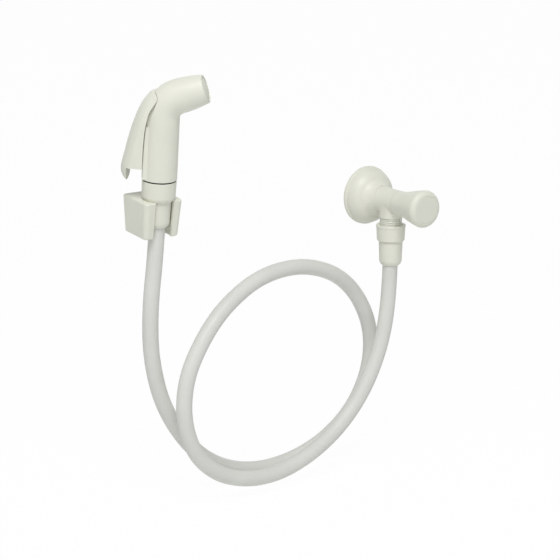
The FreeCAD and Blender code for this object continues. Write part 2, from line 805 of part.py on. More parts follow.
def handset_body():
    """Grip, bend and nozzle in one moulding, with the bores, recesses and hinge lug."""
    body = new_body("handset_body", handset_place)
    corner, ahead, swing, reach = bend_points()
    straight = s.bend_height - reach
    turn(body, "grip", [
        (0, s.grip_foot), (s.grip_radius, s.grip_foot), (s.bend_radius, straight), (0, straight),
    ])
    # square shoulders that the trigger's walls slide over
    shoulders = new_sketch(body, "shoulder_outline")
    gap = s.shoulder_gap.number
    draw_outline(shoulders, [
        (-5, s.grip_foot + 1),
        (-13.3 + gap, s.grip_foot + 1),
        (-13.3 + gap, s.trigger_skirt, -365),
        (-12.6 + gap, 42, -125),
        (-11.85 + gap, s.pivot_height - 23.9),
        (-5, s.pivot_height - 23.9),
    ])
    raise_sketch(body, "shoulders", shoulders, s.shoulder_half_width * 2, both_ways=True)
    round_section = new_sketch(
        body, "bend_section", "XY_Plane", Placement(Vector(0, 0, straight.number), Rotation())
    )
    round_section.setExpression("AttachmentOffset.Base.z", straight.formula)
    draw_circles(round_section, [(0, 0, s.bend_radius)])
    curve = s.bend_curve.number
    axis = round_section.addGeometry(
        Part.LineSegment(Vector(curve, -20, 0), Vector(curve, 20, 0)), True
    )
    add_bound(round_section, "DistanceX", (-1, 1, axis, 1), s.bend_curve)
    round_section.addConstraint(Sketcher.Constraint("Vertical", axis))
    doc.recompute()
    bend = body.newObject("PartDesign::Revolution", "bend")
    bend.Profile = round_section
    bend.ReferenceAxis = (round_section, ["Axis0"])
    bind(bend, "Angle", 90 - s.nozzle_angle)
    round_section.Visibility = False
    along_nozzle = Placement(
        Vector(0, s.bend_height.number, 0), Rotation(Vector(0, 0, 1), -math.degrees(swing))
    )
    turn(body, "nozzle", [
        (0, reach),
        (s.bend_radius, reach, s.nozzle_taper_curve),
        (s.nozzle_radius, s.nozzle_length),
        (0, s.nozzle_length),
    ], offset=along_nozzle)
    round_edges(body, "nozzle_lip_rounding", s.nozzle_lip, lambda edge: (
        isinstance(edge.Curve, Part.Circle) and abs(edge.Curve.Radius - s.nozzle_radius.number) < 1e-4
    ))
    neck = new_sketch(body, "joint_neck_section", "XY_Plane",
                      Placement(Vector(0, 0, s.grip_foot.number), Rotation()))
    neck.setExpression("AttachmentOffset.Base.z", s.grip_foot.formula)
    draw_circles(neck, [(0, 0, s.thread_radius)])
    raise_sketch(body, "joint_neck", neck, s.joint_neck_length + s.grip_foot, reverse=True)

    # recess and lug of the trigger's hinge
    pivot_x = -s.pivot_inset
    pivot_z = s.pivot_height
    recess = new_sketch(body, "hinge_recess_section")
    draw_circles(recess, [(pivot_x, pivot_z, s.root_radius + s.root_clearance)])
    raise_sketch(body, "hinge_recess", recess, s.grip_radius * 3, both_ways=True, cut=True)
    lug = new_sketch(body, "hinge_lug_section")
    slope = s.lug_radius * 0.43
    level = s.lug_radius * 0.9
    draw_outline(lug, [
        (pivot_x - slope, pivot_z - level),
        (pivot_x - slope + 10, pivot_z - level - 4.8),
        (pivot_x + slope + 10, pivot_z + level - 4.8),
        (pivot_x + slope, pivot_z + level, s.lug_radius * 1.001),
    ])
    raise_sketch(body, "hinge_lug", lug, s.lug_half_width * 2, both_ways=True)
    hole = new_sketch(body, "pin_hole_section")
    draw_circles(hole, [(pivot_x, pivot_z, s.pin_radius)])
    raise_sketch(body, "pin_hole", hole, s.grip_radius * 3, both_ways=True, cut=True)

    # flats that the trigger's walls swing past below the hinge
    for side in (-1, 1):
        offset = Placement(Vector(0, 0, side * s.side_flat.number), Rotation())
        flat = new_sketch(body, "side_flat_section_%d" % (side + 1), "XZ_Plane", offset)
        flat.setExpression("AttachmentOffset.Base.z", (s.side_flat * side).formula)
        draw_outline(flat, [
            (pivot_x + 5.5, pivot_z),
            (pivot_x + 5.4, pivot_z - 1.2),
            (pivot_x + 3.8, pivot_z - 6.4),
            (pivot_x + 1.5, pivot_z - 13.4),
            (pivot_x - 0.5, pivot_z - 19.9),
            (pivot_x - 1.6, pivot_z - 23.9),
            (pivot_x - 8.1, pivot_z - 23.9),
            (pivot_x - 8.1, pivot_z + 2.1),
            (pivot_x + 4.4, pivot_z + 3.1),
        ])
        raise_sketch(body, "side_flat_%d" % (side + 1), flat, s.grip_radius, cut=True, reverse=(side > 0))

    # water bores: up from the joint, across at the valve, slanted to the nozzle
    turn(body, "joint_bore", [
        (0, -s.joint_neck_length - 1),
        (s.joint_bore, -s.joint_neck_length - 1),
        (s.joint_bore, 8),
        (s.water_bore, 11),
        (s.water_bore, s.plunger_height),
        (0, s.plunger_height),
    ], cut=True)
    valve = new_sketch(body, "valve_bore_profile", "XY_Plane",
                       Placement(Vector(0, 0, s.plunger_height.number), Rotation()))
    valve.setExpression("AttachmentOffset.Base.z", s.plunger_height.formula)
    back = s.grip_radius + 2
    draw_outline(valve, [
        (-back, 0),
        (s.valve_chamber_end, 0),
        (s.valve_chamber_end, s.gland_radius - 0.4),
        (-s.gland_end_reach, s.gland_radius - 0.4),
        (-s.gland_end_reach, s.gland_radius),
        (-s.grip_radius + 1.6, s.gland_radius),
        (-s.grip_radius + 1.6, s.gland_head_radius + 0.3),
        (-back, s.gland_head_radius + 0.3),
    ])
    cut = body.newObject("PartDesign::Groove", "valve_bore")
    cut.Profile = valve
    cut.ReferenceAxis = (valve, ["H_Axis"])
    cut.Angle = 360
    valve.Visibility = False
    mouth = nozzle_end_place()
    for name, radius, start, length in (
        ("plate_seat", s.plate_radius + 0.1, 0, s.plate_recess + s.plate_length + s.plate_seal_length),
        ("spray_chamber", s.spray_chamber_radius, 0, s.spray_chamber_length + s.plate_length + 2),
        ("nozzle_bore", s.water_bore + 0.8, 0, s.nozzle_length - 6),
    ):
        section = new_sketch(body, name + "_section", "XY_Plane", mouth)
        draw_circles(section, [(0, 0, radius)])
        raise_sketch(body, name, section, length, cut=True)
    slant_foot = Vector(-6.5, 0, s.plunger_height.number + 3)
    slant_head = corner + ahead * 8
    slant = slant_head - slant_foot
    tilt = math.degrees(math.atan2(slant.x, slant.z))
    channel = new_sketch(body, "slant_bore_section", "XY_Plane",
                         Placement(slant_foot, Rotation(Vector(0, 1, 0), tilt)))
    draw_circles(channel, [(0, 0, s.water_bore - 1)])
    raise_sketch(body, "slant_bore", channel, Size(slant.Length, "%.6g" % slant.Length),
                 reverse=True, cut=True)
    round_edges(body, "grip_foot_rounding", 0.5,
                lambda edge: is_circle(edge, s.grip_radius, s.grip_foot))
    return body


def joint_ring():
    """Dark rubber ring between the grip's lower end and the collar nut."""
    washer("joint_ring", handset_place, s.grip_foot - s.joint_ring_length, s.joint_ring_length,
           s.joint_ring_radius, s.thread_radius + s.thread_clearance)


def spray_parts():
    """The perforated plate in the nozzle's mouth and the rubber ring behind it."""
    place = handset_place.multiply(nozzle_end_place())
    plate_top = -s.plate_recess
    plate_bottom = plate_top - s.plate_length
    washer("spray_seal", place, plate_bottom - s.plate_seal_length, s.plate_seal_length,
           s.plate_radius, s.spray_chamber_radius)
    body = new_body("spray_plate", place)
    turn(body, "plate_blank", [
        (0, plate_bottom),
        (s.plate_radius, plate_bottom),
        (s.plate_radius, plate_top),
        (s.plate_radius - 1.2, plate_top, 52),
        (0, plate_top + 0.9),
    ])
    middle = new_sketch(body, "middle_hole_section", "XY_Plane")
    draw_circles(middle, [(0, 0, s.spray_hole)])
    raise_sketch(body, "middle_hole", middle, s.plate_length * 6, both_ways=True, cut=True)
    for number, count in ((1, 6), (2, 12), (3, 18)):
        sketch = new_sketch(body, "spray_hole_section_%d" % number, "XY_Plane")
        draw_circles(sketch, [(s.spray_ring_pitch * number, 0, s.spray_hole)])
        hole = raise_sketch(body, "spray_hole_%d" % number, sketch, s.plate_length * 6,
                            both_ways=True, cut=True)
        doc.recompute()
        pattern = body.newObject("PartDesign::PolarPattern", "spray_ring_%d" % number)
        pattern.Originals = [hole]
        pattern.Axis = (sketch, ["N_Axis"])
        pattern.Angle = 360
        pattern.Occurrences = count
        body.Tip = pattern
        doc.recompute()


def plunger_frame():
    """The frame of the trigger valve: Z runs backwards, out of the grip to the trigger."""
    return handset_place.multiply(
        Placement(Vector(0, 0, s.plunger_height.number), Rotation(Vector(0, 1, 0), -90))
    )


def trigger_valve():
    """Screwed gland, plunger with its rubber washer and ring, and the spring around it."""
    place = plunger_frame()
    head_end = s.gland_head_reach
    head_start = head_end - s.gland_head_length
    gland = new_body("plunger_gland", place)
    turn(gland, "gland_form", [
        (s.gland_bore, s.gland_end_reach),
        (s.gland_radius - 0.1, s.gland_end_reach),
        (s.gland_radius - 0.1, s.grip_radius - 1.6),
        (s.gland_head_radius, s.grip_radius - 1.6),
        (s.gland_head_radius, head_end),
        (s.gland_bore, head_end),
    ])
    port = new_sketch(gland, "gland_port_section", "XZ_Plane")
    draw_circles(port, [(0, s.gland_end_reach + 3.6, 1.6)])
    raise_sketch(gland, "gland_ports", port, s.gland_radius * 3, both_ways=True, cut=True)

    web = trigger_inner_reach(s.plunger_height.number)
    top = Size(web, "%.6g" % web) - s.plunger_gap
    plunger = new_body("plunger", place)
    foot_start = s.gland_end_reach - s.valve_washer_length - s.plunger_foot_length
    groove_middle = s.gland_end_reach + 8
    groove_half = s.plunger_ring * 1.1
    groove_radius = s.gland_bore - s.plunger_ring * 1.6
    turn(plunger, "plunger_form", [
        (0, foot_start),
        (s.plunger_foot_radius, foot_start),
        (s.plunger_foot_radius, foot_start + s.plunger_foot_length),
        (s.plunger_radius, foot_start + s.plunger_foot_length),
        (s.plunger_radius, groove_middle - groove_half),
        (groove_radius, groove_middle - groove_half),
        (groove_radius, groove_middle + groove_half),
        (s.plunger_radius, groove_middle + groove_half),
        (s.plunger_radius, top - s.plunger_head_length),
        (s.plunger_head_radius, top - s.plunger_head_length),
        (s.plunger_head_radius, top - 1.6, 4.2),
        (0.8, top),
        (0, top),
    ])
    washer("plunger_seat", place, foot_start + s.plunger_foot_length, s.valve_washer_length - 0.02,
           s.valve_washer_radius, s.plunger_radius + 0.02)
    ring("plunger_ring", place, groove_middle, groove_radius + s.plunger_ring * 0.8,
         s.plunger_ring * 0.78)

    start = head_end.number + s.spring_wire.number + 0.02
    end = (top - s.plunger_head_length).number - s.spring_wire.number - 0.02
    coils = s.spring_coils.number
    helix = Part.makeHelix((end - start) / coils, end - start, s.spring_radius.number)
    corners = []
    for number in range(13):
        angle = math.radians(30 * number)
        across = s.spring_radius.number + s.spring_wire.number * math.cos(angle)
        corners.append(Vector(across, 0, s.spring_wire.number * math.sin(angle)))
    section = Part.makePolygon(corners)
    wire = Part.Wire(helix.Edges).makePipeShell([section], True, True)
    spring = doc.addObject("Part::Feature", "return_spring")
    spring.Label = "return_spring"
    spring.Shape = wire
    spring.Placement = place.multiply(Placement(Vector(0, 0, start), Rotation()))
    pieces["return_spring"] = spring


def trigger_inner_reach(height):
    """How far the inside of the trigger's web stands from the grip's axis at a height."""
    lower = [row for row in TRIGGER_STATIONS if row[0] <= height][-1]
    upper = [row for row in TRIGGER_STATIONS if row[0] >= height][0]
    if lower is upper:
        return lower[1] - s.trigger_wall.number
    share = (height - lower[0]) / (upper[0] - lower[0])
    return lower[1] + (upper[1] - lower[1]) * share - s.trigger_wall.number


def trigger_form(name, inset):
    """A solid lofted through D-shaped sections, set in from the trigger's outside by an inset."""
    body = doc.addObject("PartDesign::Body", name)
    body.Placement = handset_place
    sections = []
    for number, (height, reach, half_width, crown) in enumerate(TRIGGER_STATIONS):
        section = new_sketch(body, "%s_section_%d" % (name, number), "XY_Plane",
                             Placement(Vector(0, 0, height), Rotation()))
        half = half_width - inset
        top = crown - inset * 0.5
        bend = (half * half + top * top) / (2 * top)
        outer = -(reach - inset)
        draw_outline(section, [
            (2.0, -half),
            (2.0, half),
            (outer + top, half, bend),
            (outer + top, -half),
        ])
        section.Visibility = False
        sections.append(section)
    loft = body.newObject("PartDesign::AdditiveLoft", name + "_loft")
    loft.Profile = sections[0]
    loft.Sections = sections[1:]
    loft.Ruled = False
    return body


def side_pad(name, points, half_width):
    """A slab of the trigger's side view, as wide as twice the half width."""
    body = doc.addObject("PartDesign::Body", name)
    body.Placement = handset_place
    sketch = new_sketch(body, name + "_outline")
    draw_outline(sketch, points)
    raise_sketch(body, name + "_pad", sketch, half_width * 2, both_ways=True)
    return body


def boolean(kind, name, base, tool):
    """A Part boolean of two objects."""
    result = doc.addObject(kind, name)
    result.Base = base
    result.Tool = tool
    return result


def trigger():
    """Lever of U section: a crowned web, two side walls, a curled tongue and a hinge root."""
    px = -s.pivot_inset
    pz = s.pivot_height
    root = s.root_radius
    quarter = root * 1.0005
    half_width = TRIGGER_STATIONS[0][2]
    outer = trigger_form("trigger_outer", 0.0)
    inner = trigger_form("trigger_inner", s.trigger_wall.number)
    outline = side_pad("trigger_outline", [
        (px + root * 0.764, pz - root * 0.645, quarter),
        (px + root, pz, quarter),
        (px, pz + root),
        (-22, pz + root),
        (-38, 45),
        (-38, -1.2),
        (-27.2, -1.2),
        (-26.9, 1.2),
        (-26.9, s.trigger_skirt),
        (-13.3, s.trigger_skirt, -365),
        (-12.6, 42, -125),
        (-9.6, 60.5, -70),
    ], half_width + 2.0)
    front = doc.addObject("PartDesign::Body", "trigger_front_view")
    front.Placement = handset_place
    front_sketch = new_sketch(front, "trigger_front_outline", "YZ_Plane")
    draw_outline(front_sketch, [
        (-16, 90), (-16, 9), (-14.1, 9, 9.0), (-9.5, 1.3, 28), (9.5, 1.3, 9.0), (14.1, 9), (16, 9), (16, 90),
    ])
    raise_sketch(front, "trigger_front_pad", front_sketch, 90, both_ways=True)
    blank = doc.addObject("Part::MultiCommon", "trigger_blank")
    blank.Shapes = [outer, outline, front]
    across = Rotation(Vector(1, 0, 0), -90)
    bar = doc.addObject("Part::Cylinder", "trigger_root_bar")
    bind(bar, "Radius", root - 0.35)
    bind(bar, "Height", 40)
    bar.Placement = handset_place.multiply(Placement(Vector(px.number, -20, pz.number), across))
    crest = doc.addObject("Part::Box", "trigger_crest")
    bind(crest, "Length", 40)
    bind(crest, "Width", 40)
    bind(crest, "Height", 20)
    crest.Placement = handset_place.multiply(Placement(Vector(-30, -20, (pz + 0.6).number), Rotation()))
    tongue = doc.addObject("Part::Box", "trigger_tongue_core")
    bind(tongue, "Length", 40)
    bind(tongue, "Width", 40)
    bind(tongue, "Height", s.trigger_skirt + 10)
    tongue.Placement = handset_place.multiply(Placement(Vector(-40, -20, -10), Rotation()))
    above_tongue = boolean("Part::Cut", "trigger_hollow_above_tongue", inner, tongue)
    below_bar = boolean("Part::Cut", "trigger_hollow_below_bar", above_tongue, bar)
    hollow = boolean("Part::Cut", "trigger_hollow", below_bar, crest)
    shell = boolean("Part::Cut", "trigger_shell", blank, hollow)

    slot_radius = s.lug_radius + s.lug_clearance
    slope = slot_radius * 0.43
    level = slot_radius * 0.9
    cutter = side_pad("trigger_lug_slot", [
        (px - slope, pz - level),
        (px - slope + 10, pz - level - 5.6),
        (px + slope + 10, pz + level - 4.0),
        (px + slope, pz + level, slot_radius * 1.001),
    ], s.lug_half_width + 0.3)
    slotted = boolean("Part::Cut", "trigger_slotted", shell, cutter)
    pin_place = handset_place.multiply(
        Placement(Vector(px.number, -s.pin_near_end.number, pz.number), across)
    )
    bore = doc.addObject("Part::Cylinder", "trigger_pin_bore")
    bind(bore, "Radius", s.pin_radius + s.running_clearance)
    bind(bore, "Height", s.pin_near_end * 3)
    bore.Placement = pin_place
    lever = boolean("Part::Cut", "trigger", slotted, bore)
    lever.Label = "trigger"
    pieces["trigger"] = lever
    pin = doc.addObject("Part::Cylinder", "trigger_pin")
    pin.Label = "trigger_pin"
    bind(pin, "Radius", s.pin_radius)
    bind(pin, "Height", s.pin_near_end + s.pin_far_end - 0.1)
    pin.Placement = pin_place.multiply(Placement(Vector(0, 0, 0.1), Rotation()))
    pieces["trigger_pin"] = pin


def wall_holder():
    """Fork-shaped holder: tapered block with a conical seat, a front slot and a cavity behind."""
    block = doc.addObject("PartDesign::Body", "holder_block")
    block.Placement = holder_place
    top = -s.holder_top_reach
    low = top - s.holder_length
    wall = 40
    sections = []
    for name, height, half, front in (
        ("holder_low_section", low, s.holder_low_half_width, s.holder_low_front),
        ("holder_top_section", top, s.holder_half_width, s.holder_front),
    ):
        section = new_sketch(block, name, "XY_Plane", Placement(Vector(0, 0, height.number), Rotation()))
        section.setExpression("AttachmentOffset.Base.z", height.formula)
        corner = s.holder_corner
        draw_outline(section, [
            (-half + corner, -front),
            (half - corner, -front, corner * 1.0005),
            (half, -front + corner),
            (half, wall),
            (-half, wall),
            (-half, -front + corner, corner * 1.0005),
        ])
        section.Visibility = False
        sections.append(section)
    loft = block.newObject("PartDesign::AdditiveLoft", "holder_loft")
    loft.Profile = sections[0]
    loft.Sections = [sections[1]]
    loft.Ruled = True

    # the wall's plane in this leaning frame
    lean = math.radians(s.lean_angle.number)

    def wall_line(height, inset=0.0):
        return (-s.handset_y.number - inset + height * math.sin(lean)) / math.cos(lean)

    above = 5.0
    below = low.number - 5.0
    back = new_sketch(block, "wall_cut_section", "YZ_Plane")
    draw_outline(back, [
        (wall_line(above), above), (wall + 5, above), (wall + 5, below), (wall_line(below), below),
    ])
    raise_sketch(block, "wall_cut", back, s.holder_half_width * 3, both_ways=True, cut=True)
    round_edges(block, "holder_rim_rounding", s.holder_rim, lambda edge: (
        abs(edge.CenterOfMass.z - top.number) < 0.05 and edge.CenterOfMass.y < 20
    ))
    round_edges(block, "holder_foot_rounding", s.holder_foot, lambda edge: (
        abs(edge.CenterOfMass.z - low.number) < 0.05 and edge.CenterOfMass.y < 20
    ))
    inset = s.back_plate.number
    roof = top - s.cavity_roof
    cavity = new_sketch(block, "cavity_section", "YZ_Plane")
    draw_outline(cavity, [
        (s.cavity_start, roof), (wall_line(roof.number, inset), roof),
        (wall_line(below, inset), below), (s.cavity_start, below),
    ])
    raise_sketch(block, "cavity", cavity, s.cavity_half_width * 2, both_ways=True, cut=True)
    slot = new_sketch(block, "slot_section", "XY_Plane")
    front = -s.holder_front - 5
    draw_outline(slot, [
        (-s.slot_half_width, front), (s.slot_half_width, front),
        (s.slot_half_width, 0), (-s.slot_half_width, 0),
    ])
    raise_sketch(block, "slot", slot, s.holder_length * 4, both_ways=True, cut=True)
    collar_end = s.joint_neck_length + s.washer_length + s.tail_flange_length + s.nut_shoulder
    seat = s.collar_end_radius + s.seat_clearance
    rise = s.collar_cone_length
    turn(block, "seat_and_bore", [
        (0, rise - collar_end),
        (s.collar_low_radius + s.seat_clearance, rise - collar_end, -9),
        (seat, -collar_end),
        (seat, -collar_end - s.seat_clearance),
        (s.holder_bore, -collar_end - s.seat_clearance),
        (s.holder_bore, low - 3),
        (0, low - 3),
    ], cut=True)

    cutters = []
    for side in (-1, 1):
        height = s.mount_height + s.mount_spacing / 2 * side
        drill = doc.addObject("Part::Cylinder", "mount_drill_%d" % (side + 1))
        bind(drill, "Radius", s.mount_hole)
        bind(drill, "Height", s.back_plate * 3)
        sink = doc.addObject("Part::Cone", "mount_sink_%d" % (side + 1))
        bind(sink, "Radius1", s.mount_hole)
        bind(sink, "Radius2", s.mount_countersink)
        bind(sink, "Height", s.mount_countersink - s.mount_hole)
        forward = Rotation(Vector(1, 0, 0), 90)
        drill.Placement = Placement(Vector(s.handset_x.number, s.back_plate.number, height.number), forward)
        sink_depth = (s.back_plate - s.mount_countersink + s.mount_hole).number
        sink.Placement = Placement(Vector(s.handset_x.number, -sink_depth, height.number), forward)
        cutters += [drill, sink]
    drills = doc.addObject("Part::MultiFuse", "mount_drills")
    drills.Shapes = cutters
    holder = boolean("Part::Cut", "wall_holder", block, drills)
    holder.Label = "wall_holder"
    pieces["wall_holder"] = holder


def hose(hose_start):
    """The hose: straight runs joined by tangent arcs, swept with its own ring section."""
    handset_end = handset_seal_place.multVec(Vector(0, 0, hose_start.number))
    handset_leave = handset_seal_place.multVec(Vector(0, 0, hose_start.number + 42))
    valve_end = spout_seal_place.multVec(Vector(0, 0, hose_start.number))
    valve_leave = spout_seal_place.multVec(Vector(0, 0, hose_start.number + 44))
    route = [handset_end, handset_leave] + [Vector(*spot) for spot in HOSE_ROUTE]
    route += [valve_leave, valve_end]
    edges = []
    radii = []
    at = route[0]
    for before, corner, after in zip(route, route[1:], route[2:]):
        arriving = (corner - before).normalize()
        leaving = (after - corner).normalize()
        turning = arriving.getAngle(leaving)
        reach = 0.45 * min((corner - before).Length, (after - corner).Length)
        radii.append(reach / math.tan(turning / 2))
        arc_start = corner - arriving * reach
        arc_end = corner + leaving * reach
        inward = (leaving - arriving).normalize()
        middle = corner + inward * (radii[-1] / math.cos(turning / 2) - radii[-1])
        edges.append(Part.LineSegment(at, arc_start).toShape())
        edges.append(Part.Arc(arc_start, middle, arc_end).toShape())
        at = arc_end
    edges.append(Part.LineSegment(at, route[-1]).toShape())
    path = Part.Wire(edges)
    along = (route[1] - route[0]).normalize()
    solids = []
    for radius in (s.hose_radius.number, s.hose_bore.number):
        section = Part.Wire(Part.makeCircle(radius, route[0], along))
        solids.append(path.makePipeShell([section], True, False))
    tube = solids[0].cut(solids[1])
    tube = tube.Solids[0]
    expected = math.pi * (s.hose_radius.number ** 2 - s.hose_bore.number ** 2) * path.Length
    print("hose radii", " ".join("%.0f" % radius for radius in radii))
    print("hose length %.1f, volume over section times length %.4f" % (path.Length, tube.Volume / expected))
    piece = doc.addObject("Part::Feature", "hose")
    piece.Label = "hose"
    piece.Shape = tube
    pieces["hose"] = piece


valve_body()
wall_flange()
cartridge()
knob()
hose_end("spout", spout_seal_place)
hose_start = hose_end("handset", handset_seal_place)
nuts()
handset_body()
joint_ring()
spray_parts()
trigger_valve()
trigger()
wall_holder()
hose(hose_start)
doc.recompute()

for item in doc.Objects:
    if "Invalid" in item.State or "Error" in item.State:
        raise RuntimeError("%s: %s" % (item.Name, item.State))
os.makedirs("parts", exist_ok=True)
for label, piece in pieces.items():
    shape = piece.Shape
    if shape.isNull() or not shape.isValid():
        raise RuntimeError(label + " has no valid shape")
    if len(shape.Solids) != 1:
        raise RuntimeError("%s is %d solids" % (label, len(shape.Solids)))
    shape.exportStep("parts/%s.step" % label)
print("%d pieces written" % len(pieces))
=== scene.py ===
"""Looks of a handheld bidet shower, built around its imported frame.

The wall is the plane y = 0 with the room on its -y side, and every size is in metres.
"""

import json
import math

import bmesh
import bpy
from mathutils import Matrix, Vector


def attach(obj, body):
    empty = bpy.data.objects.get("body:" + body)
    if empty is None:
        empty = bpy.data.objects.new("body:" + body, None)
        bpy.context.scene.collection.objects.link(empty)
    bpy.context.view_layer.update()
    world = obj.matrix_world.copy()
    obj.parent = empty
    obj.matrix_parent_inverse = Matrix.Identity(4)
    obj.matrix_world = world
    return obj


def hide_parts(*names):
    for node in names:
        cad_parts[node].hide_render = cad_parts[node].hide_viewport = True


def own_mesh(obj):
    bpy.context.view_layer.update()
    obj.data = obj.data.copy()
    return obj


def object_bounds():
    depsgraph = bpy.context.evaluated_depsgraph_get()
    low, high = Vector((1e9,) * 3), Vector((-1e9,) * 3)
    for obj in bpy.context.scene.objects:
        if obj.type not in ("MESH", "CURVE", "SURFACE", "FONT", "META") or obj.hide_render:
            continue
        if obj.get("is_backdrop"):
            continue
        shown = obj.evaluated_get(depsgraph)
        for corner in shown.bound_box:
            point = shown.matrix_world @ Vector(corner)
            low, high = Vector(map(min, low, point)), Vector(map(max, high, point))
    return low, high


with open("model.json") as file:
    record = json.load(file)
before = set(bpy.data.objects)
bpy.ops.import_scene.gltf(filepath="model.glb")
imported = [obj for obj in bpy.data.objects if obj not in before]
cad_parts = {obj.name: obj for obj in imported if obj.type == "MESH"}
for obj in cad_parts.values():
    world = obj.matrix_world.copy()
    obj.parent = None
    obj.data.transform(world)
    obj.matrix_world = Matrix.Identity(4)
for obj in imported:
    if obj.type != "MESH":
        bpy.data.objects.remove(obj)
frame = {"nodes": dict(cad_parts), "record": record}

bl_info = {
    "name": "Handheld Bidet Shower",
    "version": (1, 0, 0),
    "blender": (4, 5, 0),
    "location": "3D View > Sidebar > Bidet Shower",
    "description": "Dresses the wall valve, hose, spray handset and holder in their plastics",
    "category": "Object",
}

# How far the spout's axis stands in front of the wall, and the heights between which it is a plain cylinder
SPOUT_Y = -0.036
SPOUT_PLAIN_LOW = -0.0303
SPOUT_PLAIN_HIGH = -0.01499

# Foot of each thread, with Z along its axis
SPOUT_THREAD_PLACE = Matrix.Translation((0.0, SPOUT_Y, -0.0299))
INLET_THREAD_PLACE = Matrix.Translation((0.0, 0.0005, 0.0)) @ Matrix.Rotation(math.radians(-90), 4, "X")

# A thread's ridge: its share of the depth, how fast it grows at either end, and how thin it starts
RIDGE_SHARE = 0.8
RUN_OUT_SLOPE = 14.0
RUN_OUT_LEAST = 0.05

# Points nearer to each other than this are one, and faces turned by less than this make one flat
JOIN_DISTANCE = 2e-6
FLAT_ANGLE = math.radians(1.0)

# An edge turned by more than the first is a crease, and one turned by more than the second is rounded
CREASE_ANGLE = math.radians(28)
ROUND_ANGLE = math.radians(32)

# How far a point may lie off a cylinder or a plane and still count as on it
CYLINDER_SLACK = 2e-5
PLANE_SLACK = 1e-5

# The photograph's view: how it is turned and dipped, and where it has the frame's origin from the eye
VIEW_TURN = math.radians(37.0)
VIEW_DIP = math.radians(14.0)
ORIGIN_RIGHT = 0.0804316
ORIGIN_ABOVE = 0.0795928
ORIGIN_AHEAD = 1.864

# The point that the lamps face, near the middle of the set
LAMPS_FACE = Vector((-0.12, -0.02, -0.03))

# The gap between the hose and the floor, and the share of plain white in how the camera sees the floor
FLOOR_GAP = 0.001
FLOOR_GLOW = 0.97

# The hose's course, from its end in the handset's sleeve to its end in the valve's sleeve
HOSE_ROUTE = (
    (-0.2485, -0.0250, 0.0287),
    (-0.2485, -0.0206, -0.0129),
    (-0.2570, -0.0220, -0.0660),
    (-0.2550, -0.0200, -0.1150),
    (-0.2390, -0.0180, -0.1650),
    (-0.2010, -0.0160, -0.2140),
    (-0.1480, -0.0150, -0.2380),
    (-0.0860, -0.0150, -0.2350),
    (-0.0340, -0.0150, -0.2090),
    (-0.0070, -0.0160, -0.1670),
    (-0.0080, -0.0190, -0.1180),
    (-0.0410, -0.0240, -0.0700),
    (-0.0930, -0.0300, -0.0470),
    (-0.1470, -0.0350, -0.0480),
    (-0.1900, -0.0400, -0.0680),
    (-0.2180, -0.0440, -0.0940),
    (-0.2380, -0.0470, -0.1260),
    (-0.2420, -0.0490, -0.1640),
    (-0.2280, -0.0500, -0.2000),
    (-0.1940, -0.0500, -0.2250),
    (-0.1430, -0.0490, -0.2330),
    (-0.0870, -0.0470, -0.2160),
    (-0.0420, -0.0440, -0.1820),
    (-0.0130, -0.0410, -0.1340),
    (0.0000, -0.0360, -0.0822),
    (0.0000, -0.0360, -0.0382),
)

IVORY_NODES = (
    "valve_body",
    "wall_flange",
    "knob",
    "knob_cap",
    "spout_nut",
    "spout_sleeve",
    "handset_nut",
    "handset_sleeve",
    "handset_body",
    "trigger",
    "wall_holder",
    "spray_plate",
)
# Mouldings whose edges stay as the frame has them
SHARP_NODES = ("spray_plate", "valve_body", "wall_flange", "knob")
WHITE_NODES = ("cartridge_housing", "plunger_gland", "plunger")
RUBBER_NODES = (
    "joint_ring",
    "disc_seal",
    "spindle_ring",
    "spout_washer",
    "handset_washer",
    "spray_seal",
    "plunger_seat",
    "plunger_ring",
)
BRASS_NODES = ("spout_tail", "handset_tail", "spindle")
CERAMIC_NODES = ("fixed_disc", "turning_disc")
STEEL_NODES = ("knob_screw", "trigger_pin")


# Sizes and colours that a user would change


def length(name, description, default, low, high):
    """A length property in metres."""
    return bpy.props.FloatProperty(
        name=name,
        description=description,
        default=default,
        min=low,
        max=high,
        precision=5,
        subtype="DISTANCE",
        unit="LENGTH",
    )


def amount(name, description, default, low, high):
    """A plain number property."""
    return bpy.props.FloatProperty(name=name, description=description, default=default, min=low, max=high)


def tint(name, description, default):
    """A colour property."""
    return bpy.props.FloatVectorProperty(
        name=name,
        description=description,
        default=default,
        size=3,
        min=0.0,
        max=1.0,
        subtype="COLOR",
    )


class BidetSizes(bpy.types.PropertyGroup):
    """Sizes of the hose, of the threads and of the finish on the mouldings."""

    hose_diameter: length("Hose diameter", "Outside of the smooth hose", 0.014, 0.008, 0.03)
    hose_length: length("Hose length", "From end to end", 1.2541, 0.5, 3.0)
    thread_radius: length("Thread radius", "Half inch pipe thread over its crests", 0.0104775, 0.005, 0.02)
    thread_root: length("Thread root", "Radius at the bottom of the thread", 0.0098, 0.005, 0.02)
    thread_pitch: length("Thread pitch", "From one turn of the thread to the next", 0.001814, 0.0005, 0.004)
    spout_thread: length("Spout thread", "Length of the thread under the spout", 0.0145, 0.002, 0.03)
    inlet_thread: length("Inlet thread", "Length of the thread behind the wall", 0.0114, 0.002, 0.03)
    edge_round: length("Edge round", "Rounding along the edges of most mouldings", 0.00025, 0.0, 0.002)
    grain_size: length("Grain size", "Fine texture of the moulding tool", 0.0009, 0.0001, 0.01)


